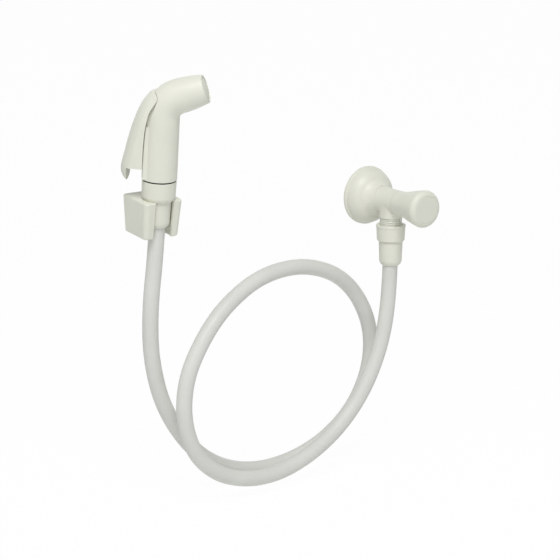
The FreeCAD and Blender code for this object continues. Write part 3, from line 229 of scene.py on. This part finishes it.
class BidetColours(bpy.types.PropertyGroup):
    """Colours of the materials."""

    ivory: tint("Ivory", "Moulded plastic of the valve, handset and holder", (0.80, 0.81, 0.71))
    hose: tint("Hose", "Soft plastic of the hose", (0.73, 0.735, 0.695))
    white: tint("White", "Plain plastic inside the valve and the handset", (0.84, 0.84, 0.82))
    rubber: tint("Rubber", "Rings, washers and seals", (0.025, 0.025, 0.027))
    brass: tint("Brass", "Hose tails and spindle", (0.71, 0.53, 0.27))
    steel: tint("Steel", "Screw, pin and spring", (0.58, 0.58, 0.59))
    ceramic: tint("Ceramic", "Discs of the cartridge", (0.88, 0.87, 0.84))
    backdrop: tint("Backdrop", "Floor of the studio", (1.0, 1.0, 1.0))


class BidetStudio(bpy.types.PropertyGroup):
    """Camera and lamps."""

    lens: amount("Lens", "Focal length on a 36 mm sensor", 128.57, 20.0, 300.0)
    key_power: amount("Key lamp", "Power of the large upper lamp in watts", 35.5, 0.0, 500.0)
    side_power: amount("Side lamp", "Power of the lamp on the left in watts", 1.0, 0.0, 500.0)
    sky_level: amount("Sky level", "Strength of the even light of the room", 0.36, 0.0, 2.0)


# Materials


class Shader:
    """A node material with one Principled shader, filled in a few calls."""

    def __init__(self, name, colour, rough, metal=0.0, specular=0.5):
        self.material = bpy.data.materials.new(name)
        self.material.use_nodes = True
        self.nodes = self.material.node_tree.nodes
        self.links = self.material.node_tree.links
        self.surface = self.nodes["Principled BSDF"]
        self.surface.inputs["Base Color"].default_value = (*colour, 1.0)
        self.surface.inputs["Roughness"].default_value = rough
        self.surface.inputs["Metallic"].default_value = metal
        self.surface.inputs["Specular IOR Level"].default_value = specular
        self.material.diffuse_color = (*colour, 1.0)
        self.colour = colour
        self.place = self.nodes.new("ShaderNodeTexCoord").outputs["Object"]

    def noise(self, size, detail=2.0, stretch=(1.0, 1.0, 1.0)):
        """A noise field whose features are about size across."""
        mapping = self.nodes.new("ShaderNodeMapping")
        mapping.inputs["Scale"].default_value = [s / size for s in stretch]
        field = self.nodes.new("ShaderNodeTexNoise")
        field.inputs["Scale"].default_value = 1.0
        field.inputs["Detail"].default_value = detail
        self.links.new(self.place, mapping.inputs["Vector"])
        self.links.new(mapping.outputs["Vector"], field.inputs["Vector"])
        return field.outputs["Fac"]

    def vary_colour(self, field, dark, light):
        """The base colour drifts between two shades of itself along a field."""
        ramp = self.nodes.new("ShaderNodeValToRGB")
        ramp.color_ramp.elements[0].position = 0.3
        ramp.color_ramp.elements[1].position = 0.7
        ramp.color_ramp.elements[0].color = (*[c * dark for c in self.colour], 1.0)
        ramp.color_ramp.elements[1].color = (*[min(1.0, c * light) for c in self.colour], 1.0)
        self.links.new(field, ramp.inputs["Fac"])
        self.links.new(ramp.outputs["Color"], self.surface.inputs["Base Color"])

    def vary_roughness(self, field, low, high):
        """Roughness between two levels along a field."""
        span = self.nodes.new("ShaderNodeMapRange")
        span.inputs["From Min"].default_value = 0.3
        span.inputs["From Max"].default_value = 0.7
        span.inputs["To Min"].default_value = low
        span.inputs["To Max"].default_value = high
        self.links.new(field, span.inputs["Value"])
        self.links.new(span.outputs["Result"], self.surface.inputs["Roughness"])

    def bump(self, field, height, strength):
        """Relief of the given height in metres, laid over any relief that is there already."""
        relief = self.nodes.new("ShaderNodeBump")
        relief.inputs["Distance"].default_value = height
        relief.inputs["Strength"].default_value = strength
        self.links.new(field, relief.inputs["Height"])
        below = self.surface.inputs["Normal"].links
        if below:
            self.links.new(below[0].from_socket, relief.inputs["Normal"])
        self.links.new(relief.outputs["Normal"], self.surface.inputs["Normal"])


def ivory_plastic(scene):
    """Satin moulded plastic: a faint drift of colour, uneven gloss and a fine tool grain."""
    shader = Shader("ivory_plastic", scene.bidet_colours.ivory[:], 0.42, specular=0.45)
    shader.vary_colour(shader.noise(0.035, detail=3.0), dark=0.975, light=1.02)
    shader.vary_roughness(shader.noise(0.012, detail=4.0), low=0.37, high=0.49)
    shader.bump(shader.noise(0.014), height=0.0002, strength=0.12)
    shader.bump(shader.noise(scene.bidet_sizes.grain_size, detail=3.0), height=0.00004, strength=0.35)
    shader.surface.inputs["Coat Weight"].default_value = 0.06
    shader.surface.inputs["Coat Roughness"].default_value = 0.3
    return shader.material


def hose_plastic(scene):
    """Soft extruded hose: duller than the mouldings, with faint waves in its skin."""
    shader = Shader("hose_plastic", scene.bidet_colours.hose[:], 0.5, specular=0.4)
    shader.vary_colour(shader.noise(0.03, detail=3.0), dark=0.965, light=1.02)
    shader.vary_roughness(shader.noise(0.009, detail=4.0), low=0.44, high=0.58)
    shader.bump(shader.noise(0.018), height=0.0003, strength=0.12)
    shader.bump(shader.noise(0.0007, detail=3.0), height=0.00003, strength=0.3)
    return shader.material


def plain_white(scene):
    """Unpainted acetal of the hidden parts."""
    shader = Shader("white_plastic", scene.bidet_colours.white[:], 0.42)
    shader.vary_colour(shader.noise(0.01), dark=0.97, light=1.01)
    shader.bump(shader.noise(0.0006), height=0.00003, strength=0.3)
    return shader.material


def black_rubber(scene):
    """Moulded rubber of the rings and washers."""
    shader = Shader("black_rubber", scene.bidet_colours.rubber[:], 0.62, specular=0.35)
    shader.vary_colour(shader.noise(0.004), dark=0.8, light=1.4)
    shader.bump(shader.noise(0.0004, detail=3.0), height=0.00004, strength=0.5)
    return shader.material


def turned_brass(scene):
    """Brass with the fine rings of the lathe."""
    shader = Shader("turned_brass", scene.bidet_colours.brass[:], 0.28, metal=1.0)
    shader.vary_colour(shader.noise(0.006, detail=3.0), dark=0.88, light=1.05)
    shader.vary_roughness(shader.noise(0.003, detail=3.0), low=0.22, high=0.4)
    shader.bump(shader.noise(0.0005, stretch=(1.0, 1.0, 12.0)), height=0.00002, strength=0.4)
    return shader.material


def drawn_steel(scene):
    """Stainless screw, pin and spring wire, with a fine unevenness."""
    shader = Shader("drawn_steel", scene.bidet_colours.steel[:], 0.3, metal=1.0)
    shader.vary_roughness(shader.noise(0.002, detail=3.0), low=0.22, high=0.4)
    shader.bump(shader.noise(0.0004), height=0.00002, strength=0.3)
    return shader.material


def lapped_ceramic(scene):
    """Lapped ceramic discs."""
    shader = Shader("lapped_ceramic", scene.bidet_colours.ceramic[:], 0.18)
    shader.vary_colour(shader.noise(0.002), dark=0.97, light=1.01)
    shader.bump(shader.noise(0.0003), height=0.00001, strength=0.3)
    return shader.material


def give(thing, material):
    """The piece wears one material."""
    thing.data.materials.clear()
    thing.data.materials.append(material)


# Meshes


def joined_copy(node):
    """A copy of a node's mesh with its triangles joined, its flat faces whole and its curves smooth."""
    mesh = frame["nodes"][node].data.copy()
    mesh.name = node + "_dressed"
    for attribute in [a.name for a in mesh.attributes if a.name == "custom_normal"]:
        mesh.attributes.remove(mesh.attributes[attribute])
    work = bmesh.new()
    work.from_mesh(mesh)
    bmesh.ops.remove_doubles(work, verts=work.verts, dist=JOIN_DISTANCE)
    bmesh.ops.dissolve_degenerate(work, edges=work.edges, dist=JOIN_DISTANCE)
    bmesh.ops.dissolve_limit(
        work,
        angle_limit=FLAT_ANGLE,
        verts=work.verts,
        edges=work.edges,
        delimit={"NORMAL"},
    )
    for face in work.faces:
        face.smooth = True
    for edge in work.edges:
        edge.smooth = not (edge.is_manifold and edge.calc_face_angle() > CREASE_ANGLE)
    work.to_mesh(mesh)
    work.free()
    piece = bpy.data.objects.new(node + "_dressed", mesh)
    bpy.context.scene.collection.objects.link(piece)
    return piece


def plain_mesh(piece):
    """The piece's modifiers are worked into its mesh."""
    bpy.context.view_layer.update()
    made = bpy.data.meshes.new_from_object(piece.evaluated_get(bpy.context.evaluated_depsgraph_get()))
    piece.modifiers.clear()
    made.name = piece.data.name
    piece.data = made


def round_edges(piece, radius):
    """Rolls every sharp edge over a small radius, with the flats still lit flat."""
    roll = piece.modifiers.new("edge_round", "BEVEL")
    roll.width = radius
    roll.segments = 2
    roll.limit_method = "ANGLE"
    roll.angle_limit = ROUND_ANGLE
    roll.use_clamp_overlap = True
    even = piece.modifiers.new("even_normals", "WEIGHTED_NORMAL")
    even.weight = 80
    even.keep_sharp = False
    for edge in piece.data.edges:
        edge.use_edge_sharp = False
    plain_mesh(piece)


def thread_tree():
    """Node tree of a moulded thread: a ridge that climbs a helix and runs out at both ends."""
    tree = bpy.data.node_groups.new("moulded_thread", "GeometryNodeTree")
    face = tree.interface
    for name in ("Root radius", "Crest radius", "Pitch", "Length"):
        face.new_socket(name, in_out="INPUT", socket_type="NodeSocketFloat")
    face.new_socket("Plastic", in_out="INPUT", socket_type="NodeSocketMaterial")
    face.new_socket("Geometry", in_out="OUTPUT", socket_type="NodeSocketGeometry")
    nodes, links = tree.nodes, tree.links
    given = nodes.new("NodeGroupInput").outputs
    result = nodes.new("NodeGroupOutput")

    def reckon(operation, first, second):
        """The result of one operation in this tree."""
        return math_node(tree, operation, first, second)

    depth = reckon("SUBTRACT", given["Crest radius"], given["Root radius"])
    ridge = reckon("MULTIPLY", depth, RIDGE_SHARE)
    helix = nodes.new("GeometryNodeCurveSpiral")
    helix.inputs["Resolution"].default_value = 40
    links.new(reckon("DIVIDE", given["Length"], given["Pitch"]), helix.inputs["Rotations"])
    for end in ("Start Radius", "End Radius"):
        links.new(reckon("SUBTRACT", given["Crest radius"], ridge), helix.inputs[end])
    links.new(given["Length"], helix.inputs["Height"])
    upright = nodes.new("GeometryNodeSetCurveNormal")
    upright.mode = "Z_UP"
    links.new(helix.outputs["Curve"], upright.inputs["Curve"])
    along = nodes.new("GeometryNodeSplineParameter").outputs["Factor"]
    rise = reckon("MULTIPLY", along, RUN_OUT_SLOPE)
    fall = reckon("MULTIPLY", reckon("SUBTRACT", 1.0, along), RUN_OUT_SLOPE)
    run_out = reckon("MAXIMUM", reckon("MINIMUM", reckon("MINIMUM", rise, fall), 1.0), RUN_OUT_LEAST)
    thinned = nodes.new("GeometryNodeSetCurveRadius")
    links.new(upright.outputs["Curve"], thinned.inputs["Curve"])
    links.new(run_out, thinned.inputs["Radius"])
    section = nodes.new("GeometryNodeCurvePrimitiveCircle")
    section.inputs["Resolution"].default_value = 8
    links.new(ridge, section.inputs["Radius"])
    sweep = nodes.new("GeometryNodeCurveToMesh")
    sweep.inputs["Fill Caps"].default_value = True
    links.new(thinned.outputs["Curve"], sweep.inputs["Curve"])
    links.new(section.outputs["Curve"], sweep.inputs["Profile Curve"])
    whole = nodes.new("GeometryNodeRealizeInstances")
    links.new(sweep.outputs["Mesh"], whole.inputs["Geometry"])
    dress = nodes.new("GeometryNodeSetMaterial")
    links.new(whole.outputs["Geometry"], dress.inputs["Geometry"])
    links.new(given["Plastic"], dress.inputs["Material"])
    links.new(dress.outputs["Geometry"], result.inputs["Geometry"])
    return tree


def thread_piece(name, tree, values, place):
    """A thread from the tree's values by name, laid along the Z axis of its place."""
    piece = bpy.data.objects.new(name, bpy.data.meshes.new(name))
    bpy.context.scene.collection.objects.link(piece)
    growth = piece.modifiers.new("thread", "NODES")
    growth.node_group = tree
    for item in tree.interface.items_tree:
        if item.in_out == "INPUT":
            growth[item.identifier] = values[item.name]
    plain_mesh(piece)
    piece.data.transform(place)
    for face in piece.data.polygons:
        face.use_smooth = True
    return piece


def draw_in_threads(piece, sizes):
    """The valve body's plain thread cylinders are drawn in to the root, where the ridges stand on them."""
    root = sizes.thread_root
    crest = sizes.thread_radius + CYLINDER_SLACK
    for vertex in piece.data.vertices:
        x, y, z = vertex.co
        spout = math.hypot(x, y - SPOUT_Y)
        inlet = math.hypot(x, z)
        if SPOUT_PLAIN_LOW < z < SPOUT_PLAIN_HIGH and root < spout < crest:
            share = root / spout
            vertex.co = (x * share, (y - SPOUT_Y) * share + SPOUT_Y, z)
        if y > -PLANE_SLACK and root < inlet < crest:
            share = root / inlet
            vertex.co = (x * share, y, z * share)


# Studio


def set_camera(scene):
    """The camera stands where the photograph was taken from."""
    camera = bpy.data.cameras.new("camera")
    camera.lens = scene.bidet_studio.lens
    camera.sensor_width = 36.0
    camera.clip_start = 0.05
    camera.clip_end = 30.0
    eye = bpy.data.objects.new("camera", camera)
    scene.collection.objects.link(eye)
    level = math.cos(VIEW_DIP)
    ahead = Vector((math.sin(VIEW_TURN) * level, math.cos(VIEW_TURN) * level, -math.sin(VIEW_DIP)))
    right = Vector((math.cos(VIEW_TURN), -math.sin(VIEW_TURN), 0.0))
    above = right.cross(ahead)
    eye.location = -(ORIGIN_RIGHT * right + ORIGIN_ABOVE * above + ORIGIN_AHEAD * ahead)
    eye.rotation_euler = Matrix((right, above, -ahead)).transposed().to_euler()
    scene.camera = eye


def math_node(tree, operation, first, second):
    """The result of one operation on two sockets or numbers."""
    step = tree.nodes.new("ShaderNodeMath")
    step.operation = operation
    for socket, value in zip(step.inputs, (first, second)):
        if isinstance(value, (int, float)):
            socket.default_value = value
        else:
            tree.links.new(value, socket)
    return step.outputs[0]


def mixed(tree, share, first, second):
    """The first shader, with the second mixed in by its share."""
    mix = tree.nodes.new("ShaderNodeMixShader")
    for socket, value in zip(mix.inputs, (share, first, second)):
        tree.links.new(value, socket)
    return mix.outputs["Shader"]


def studio_white(scene):
    """White paper that the camera sees nearly at full white, and that still catches a shadow."""
    white = bpy.data.materials.new("studio_white")
    white.use_nodes = True
    tree = white.node_tree
    nodes, links = tree.nodes, tree.links
    paint = nodes["Principled BSDF"]
    paint.inputs["Base Color"].default_value = (*scene.bidet_colours.backdrop, 1.0)
    paint.inputs["Roughness"].default_value = 0.9
    grain = nodes.new("ShaderNodeTexNoise")
    grain.inputs["Scale"].default_value = 900.0
    relief = nodes.new("ShaderNodeBump")
    relief.inputs["Strength"].default_value = 0.02
    relief.inputs["Distance"].default_value = 0.0002
    links.new(grain.outputs["Fac"], relief.inputs["Height"])
    links.new(relief.outputs["Normal"], paint.inputs["Normal"])
    glow = nodes.new("ShaderNodeEmission")
    glow.inputs["Color"].default_value = (1.0, 1.0, 1.0, 1.0)
    rays = nodes.new("ShaderNodeLightPath").outputs
    share = math_node(tree, "MULTIPLY", rays["Is Camera Ray"], FLOOR_GLOW)
    shown = mixed(tree, share, paint.outputs["BSDF"], glow.outputs["Emission"])
    links.new(shown, nodes["Material Output"].inputs["Surface"])
    return white


def lay_floor(scene):
    """A wide sheet of paper just under the lowest point of the set."""
    work = bmesh.new()
    bmesh.ops.create_grid(work, x_segments=8, y_segments=8, size=6.0)
    mesh = bpy.data.meshes.new("floor")
    work.to_mesh(mesh)
    work.free()
    floor = bpy.data.objects.new("floor", mesh)
    floor.location = (0.0, 0.0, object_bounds()[0].z - FLOOR_GAP)
    scene.collection.objects.link(floor)
    give(floor, studio_white(scene))
    floor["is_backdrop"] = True


def light_room(scene):
    """Even light all round, which is plain white where it is seen, mirrored or looked through."""
    world = bpy.data.worlds.new("room")
    scene.world = world
    world.use_nodes = True
    tree = world.node_tree
    room = tree.nodes["Background"]
    room.inputs["Color"].default_value = (1.0, 1.0, 1.0, 1.0)
    room.inputs["Strength"].default_value = scene.bidet_studio.sky_level
    seen = tree.nodes.new("ShaderNodeBackground")
    seen.inputs["Color"].default_value = (1.0, 1.0, 1.0, 1.0)
    rays = tree.nodes.new("ShaderNodeLightPath").outputs
    share = math_node(tree, "MAXIMUM", rays["Is Camera Ray"], rays["Is Glossy Ray"])
    share = math_node(tree, "MAXIMUM", share, rays["Is Transmission Ray"])
    shown = mixed(tree, share, room.outputs["Background"], seen.outputs["Background"])
    tree.links.new(shown, tree.nodes["World Output"].inputs["Surface"])


def hang_lamp(scene, name, power, width, place):
    """A square soft lamp that faces the middle of the set."""
    light = bpy.data.lights.new(name, "AREA")
    light.energy = power
    light.size = width
    lamp = bpy.data.objects.new(name, light)
    lamp.location = place
    lamp.rotation_euler = (LAMPS_FACE - Vector(place)).to_track_quat("-Z", "Y").to_euler()
    scene.collection.objects.link(lamp)


def body_with(node):
    """The name of the body that carries a node."""
    bodies = frame["record"]["behaviour"]["bodies"]
    return next(name for name, nodes in bodies.items() if node in nodes)


# Operators


class BIDET_OT_stage(bpy.types.Operator):
    """Builds the studio: a white floor and room, soft lamps and the camera"""

    bl_idname = "bidet.stage"
    bl_label = "Studio"

    def execute(self, context):
        scene = context.scene
        studio = scene.bidet_studio
        scene.view_settings.view_transform = "Standard"
        set_camera(scene)
        lay_floor(scene)
        light_room(scene)
        hang_lamp(scene, "key_lamp", studio.key_power, width=1.1, place=(-1.0, -1.2, 2.0))
        hang_lamp(scene, "side_lamp", studio.side_power, width=1.2, place=(-2.0, -0.5, 0.5))
        return {"FINISHED"}


class BIDET_OT_hose(bpy.types.Operator):
    """Lays the smooth hose in its loops between the two sleeves"""

    bl_idname = "bidet.hose"
    bl_label = "Hose"

    def execute(self, context):
        scene = context.scene
        curve = bpy.data.curves.new("smooth_hose", "CURVE")
        curve.dimensions = "3D"
        curve.resolution_u = 16
        curve.bevel_depth = scene.bidet_sizes.hose_diameter / 2
        curve.bevel_resolution = 10
        spline = curve.splines.new("NURBS")
        spline.points.add(len(HOSE_ROUTE) - 1)
        for point, place in zip(spline.points, HOSE_ROUTE):
            point.co = (*place, 1.0)
        spline.order_u = 3
        spline.use_endpoint_u = True
        spline.use_smooth = True
        hose = bpy.data.objects.new("smooth_hose", curve)
        scene.collection.objects.link(hose)
        give(hose, hose_plastic(scene))
        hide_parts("hose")
        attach(hose, body_with("hose"))
        return {"FINISHED"}


class BIDET_OT_mouldings(bpy.types.Operator):
    """Gives the ivory mouldings their smooth curves, rounded edges and satin plastic"""

    bl_idname = "bidet.mouldings"
    bl_label = "Ivory mouldings"

    def execute(self, context):
        material = ivory_plastic(context.scene)
        for node in IVORY_NODES:
            piece = joined_copy(node)
            if node not in SHARP_NODES:
                round_edges(piece, context.scene.bidet_sizes.edge_round)
            give(piece, material)
            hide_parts(node)
            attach(piece, body_with(node))
            if node == "valve_body":
                draw_in_threads(piece, context.scene.bidet_sizes)
        return {"FINISHED"}


class BIDET_OT_threads(bpy.types.Operator):
    """Winds the pipe threads of the spout and of the inlet behind the wall"""

    bl_idname = "bidet.threads"
    bl_label = "Threads"

    def execute(self, context):
        sizes = context.scene.bidet_sizes
        tree = thread_tree()
        for name, reach, place in (
            ("spout_thread", sizes.spout_thread, SPOUT_THREAD_PLACE),
            ("inlet_thread", sizes.inlet_thread, INLET_THREAD_PLACE),
        ):
            values = {
                "Root radius": sizes.thread_root,
                "Crest radius": sizes.thread_radius,
                "Pitch": sizes.thread_pitch,
                "Length": reach,
                "Plastic": bpy.data.materials["ivory_plastic"],
            }
            piece = thread_piece(name, tree, values, place)
            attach(piece, body_with("valve_body"))
        return {"FINISHED"}


class BIDET_OT_inner_parts(bpy.types.Operator):
    """Gives the rings, seals, tails, discs, pin and screw their materials"""

    bl_idname = "bidet.inner_parts"
    bl_label = "Inner parts"

    def execute(self, context):
        scene = context.scene
        for names, material in (
            (WHITE_NODES, plain_white(scene)),
            (RUBBER_NODES, black_rubber(scene)),
            (BRASS_NODES, turned_brass(scene)),
            (CERAMIC_NODES, lapped_ceramic(scene)),
            (STEEL_NODES, drawn_steel(scene)),
        ):
            for name in names:
                give(frame["nodes"][name], material)
        return {"FINISHED"}


class BIDET_OT_spring(bpy.types.Operator):
    """Gives the return spring its steel, on a mesh of its own that hangs on the spring's body"""

    bl_idname = "bidet.spring"
    bl_label = "Return spring"

    def execute(self, context):
        spring = joined_copy("return_spring")
        give(spring, bpy.data.materials["drawn_steel"])
        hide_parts("return_spring")
        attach(spring, body_with("return_spring"))
        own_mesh(spring)
        return {"FINISHED"}


class BIDET_PT_panel(bpy.types.Panel):
    """Lists the sizes, colours and steps of the bidet shower"""

    bl_idname = "BIDET_PT_panel"
    bl_label = "Bidet Shower"
    bl_space_type = "VIEW_3D"
    bl_region_type = "UI"
    bl_category = "Bidet Shower"

    def draw(self, context):
        layout = self.layout
        for title, group in (
            ("Sizes", context.scene.bidet_sizes),
            ("Colours", context.scene.bidet_colours),
            ("Studio", context.scene.bidet_studio),
        ):
            box = layout.box()
            box.label(text=title)
            for name in group.__annotations__:
                box.prop(group, name)
        column = layout.column(align=True)
        for step in STEPS:
            column.operator(step.bl_idname)


GROUPS = (BidetSizes, BidetColours, BidetStudio)
STEPS = (
    BIDET_OT_stage,
    BIDET_OT_hose,
    BIDET_OT_mouldings,
    BIDET_OT_threads,
    BIDET_OT_inner_parts,
    BIDET_OT_spring,
)
CLASSES = (*GROUPS, *STEPS, BIDET_PT_panel)


def register():
    """Registers the classes and hangs the properties on the scene."""
    for kind in CLASSES:
        bpy.utils.register_class(kind)
    bpy.types.Scene.bidet_sizes = bpy.props.PointerProperty(type=BidetSizes)
    bpy.types.Scene.bidet_colours = bpy.props.PointerProperty(type=BidetColours)
    bpy.types.Scene.bidet_studio = bpy.props.PointerProperty(type=BidetStudio)


def unregister():
    """Takes the properties and the classes away again."""
    del bpy.types.Scene.bidet_studio
    del bpy.types.Scene.bidet_colours
    del bpy.types.Scene.bidet_sizes
    for kind in reversed(CLASSES):
        bpy.utils.unregister_class(kind)


def main():
    """Runs every step in order."""
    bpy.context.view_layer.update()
    register()
    bpy.ops.bidet.stage()
    bpy.ops.bidet.hose()
    bpy.ops.bidet.mouldings()
    bpy.ops.bidet.threads()
    bpy.ops.bidet.inner_parts()
    bpy.ops.bidet.spring()


if __name__ == "__main__":
    main()
